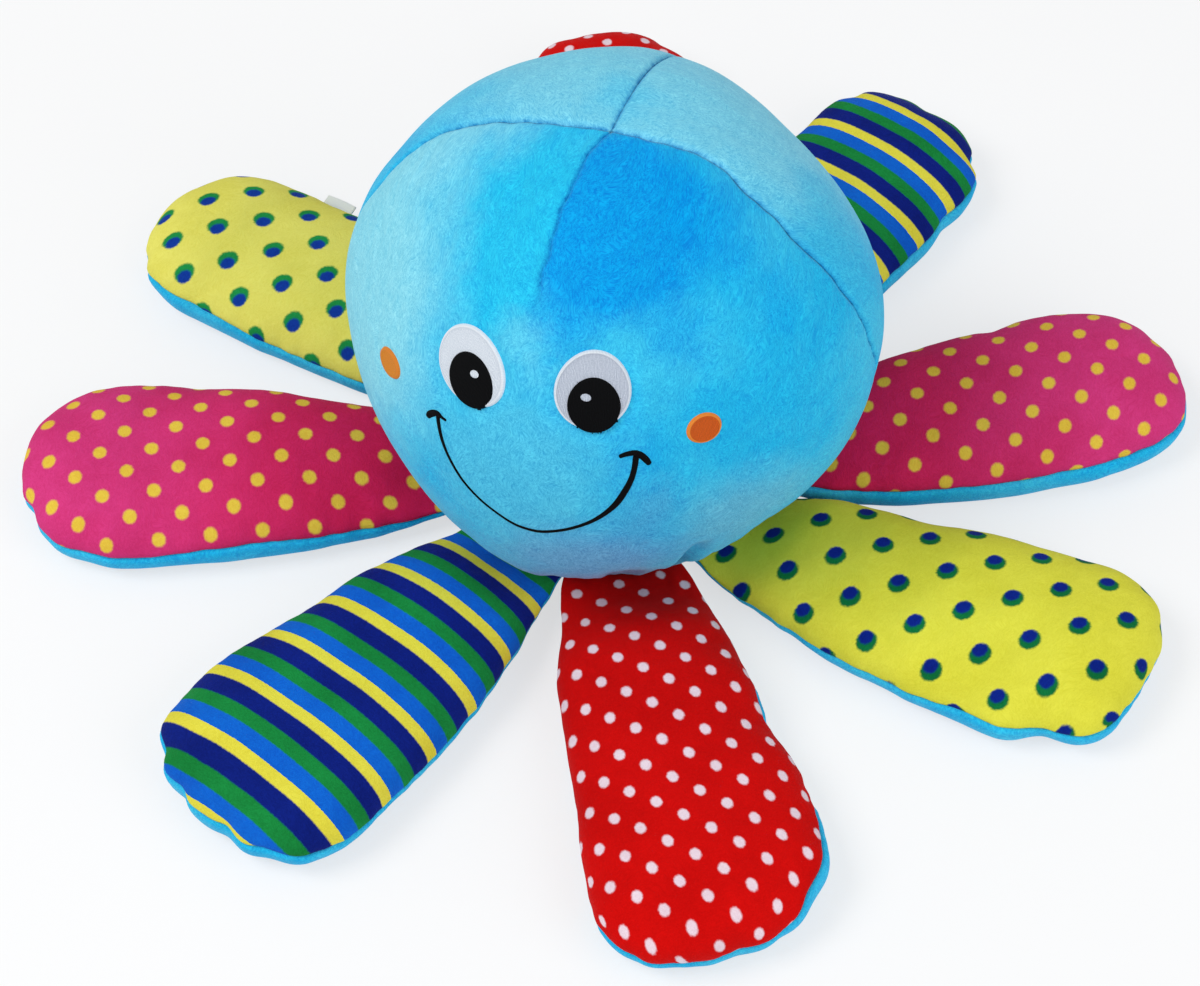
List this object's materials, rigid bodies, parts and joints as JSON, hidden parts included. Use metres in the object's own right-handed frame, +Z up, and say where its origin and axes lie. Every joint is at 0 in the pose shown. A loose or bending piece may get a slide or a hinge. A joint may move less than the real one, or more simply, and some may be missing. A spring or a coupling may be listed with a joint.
{
  "type": "plush octopus",
  "caption": "Plush octopus at rest: a round stuffed head with a stitched smiling face and flat stuffed arms in dotted and striped plush, each hinged where it is sewn on.",
  "frame": {"origin": "on the table under the middle of the head, on the flat of the base", "axes": "+Z up; the stitched face looks towards -Y; +X is to the right when looking at the face"},
  "size_m": [0.3852, 0.3755, 0.1712],
  "materials": {
    "blue_plush": "short-pile plush, sky blue, brushed nap with a soft sheen",
    "striped_plush": "short-pile plush printed with cross stripes in navy, blue, green and yellow",
    "red_plush": "short-pile plush, red with small pale dots",
    "yellow_plush": "short-pile plush, lemon yellow with green and navy dots",
    "pink_plush": "short-pile plush, deep pink with small golden dots",
    "fibre_fill": "white polyester fibre filling",
    "white_thread": "white satin-stitched embroidery",
    "black_thread": "black satin-stitched embroidery",
    "orange_thread": "orange satin-stitched embroidery",
    "label_tape": "blank white woven tape"
  },
  "bodies": {
    "head": {"face_panel": "blue_plush", "back_left_panel": "blue_plush", "back_right_panel": "blue_plush", "base_panel": "blue_plush", "head_stuffing": "fibre_fill", "left_eye_white": "white_thread", "right_eye_white": "white_thread", "left_pupil": "black_thread", "right_pupil": "black_thread", "left_glint": "white_thread", "right_glint": "white_thread", "left_cheek": "orange_thread", "right_cheek": "orange_thread", "mouth": "black_thread"},
    "striped_front_arm": {"striped_front_arm_top": "striped_plush", "striped_front_arm_underside": "blue_plush", "striped_front_arm_stuffing": "fibre_fill"},
    "red_front_arm": {"red_front_arm_top": "red_plush", "red_front_arm_underside": "blue_plush", "red_front_arm_stuffing": "fibre_fill"},
    "yellow_right_arm": {"yellow_right_arm_top": "yellow_plush", "yellow_right_arm_underside": "blue_plush", "yellow_right_arm_stuffing": "fibre_fill"},
    "pink_right_arm": {"pink_right_arm_top": "pink_plush", "pink_right_arm_underside": "blue_plush", "pink_right_arm_stuffing": "fibre_fill"},
    "striped_back_arm": {"striped_back_arm_top": "striped_plush", "striped_back_arm_underside": "blue_plush", "striped_back_arm_stuffing": "fibre_fill"},
    "red_back_arm": {"red_back_arm_top": "red_plush", "red_back_arm_underside": "blue_plush", "red_back_arm_stuffing": "fibre_fill"},
    "yellow_left_arm": {"yellow_left_arm_top": "yellow_plush", "yellow_left_arm_underside": "blue_plush", "yellow_left_arm_stuffing": "fibre_fill", "side_label": "label_tape"},
    "pink_left_arm": {"pink_left_arm_top": "pink_plush", "pink_left_arm_underside": "blue_plush", "pink_left_arm_stuffing": "fibre_fill"}
  },
  "joints": [
    {"name": "striped_front_arm_flex", "type": "hinge", "parent": "head", "child": "striped_front_arm", "pos_m": [-0.01731, -0.04284, 0.0106], "axis": [-0.9272, 0.3746, 0], "range_deg": [-35, 15]},
    {"name": "red_front_arm_flex", "type": "hinge", "parent": "head", "child": "red_front_arm", "pos_m": [0.02169, -0.04079, 0.0106], "axis": [-0.8829, -0.4695, 0], "range_deg": [-35, 15]},
    {"name": "yellow_right_arm_flex", "type": "hinge", "parent": "head", "child": "yellow_right_arm", "pos_m": [0.04483, -0.01118, 0.0106], "axis": [-0.2419, -0.9703, 0], "range_deg": [-35, 15]},
    {"name": "pink_right_arm_flex", "type": "hinge", "parent": "head", "child": "pink_right_arm", "pos_m": [0.04098, 0.02133, 0.0106], "axis": [0.4617, -0.887, 0], "range_deg": [-35, 15]},
    {"name": "striped_back_arm_flex", "type": "hinge", "parent": "head", "child": "striped_back_arm", "pos_m": [0.0158, 0.04341, 0.0106], "axis": [0.9397, -0.342, 0], "range_deg": [-35, 15]},
    {"name": "red_back_arm_flex", "type": "hinge", "parent": "head", "child": "red_back_arm", "pos_m": [-0.01693, 0.04299, 0.0106], "axis": [0.9304, 0.3665, 0], "range_deg": [-35, 15]},
    {"name": "yellow_left_arm_flex", "type": "hinge", "parent": "head", "child": "yellow_left_arm", "pos_m": [-0.04327, 0.01618, 0.0106], "axis": [0.3502, 0.9367, 0], "range_deg": [-35, 15]},
    {"name": "pink_left_arm_flex", "type": "hinge", "parent": "head", "child": "pink_left_arm", "pos_m": [-0.04284, -0.01731, 0.0106], "axis": [-0.3746, 0.9272, 0], "range_deg": [-35, 15]}
  ]
}
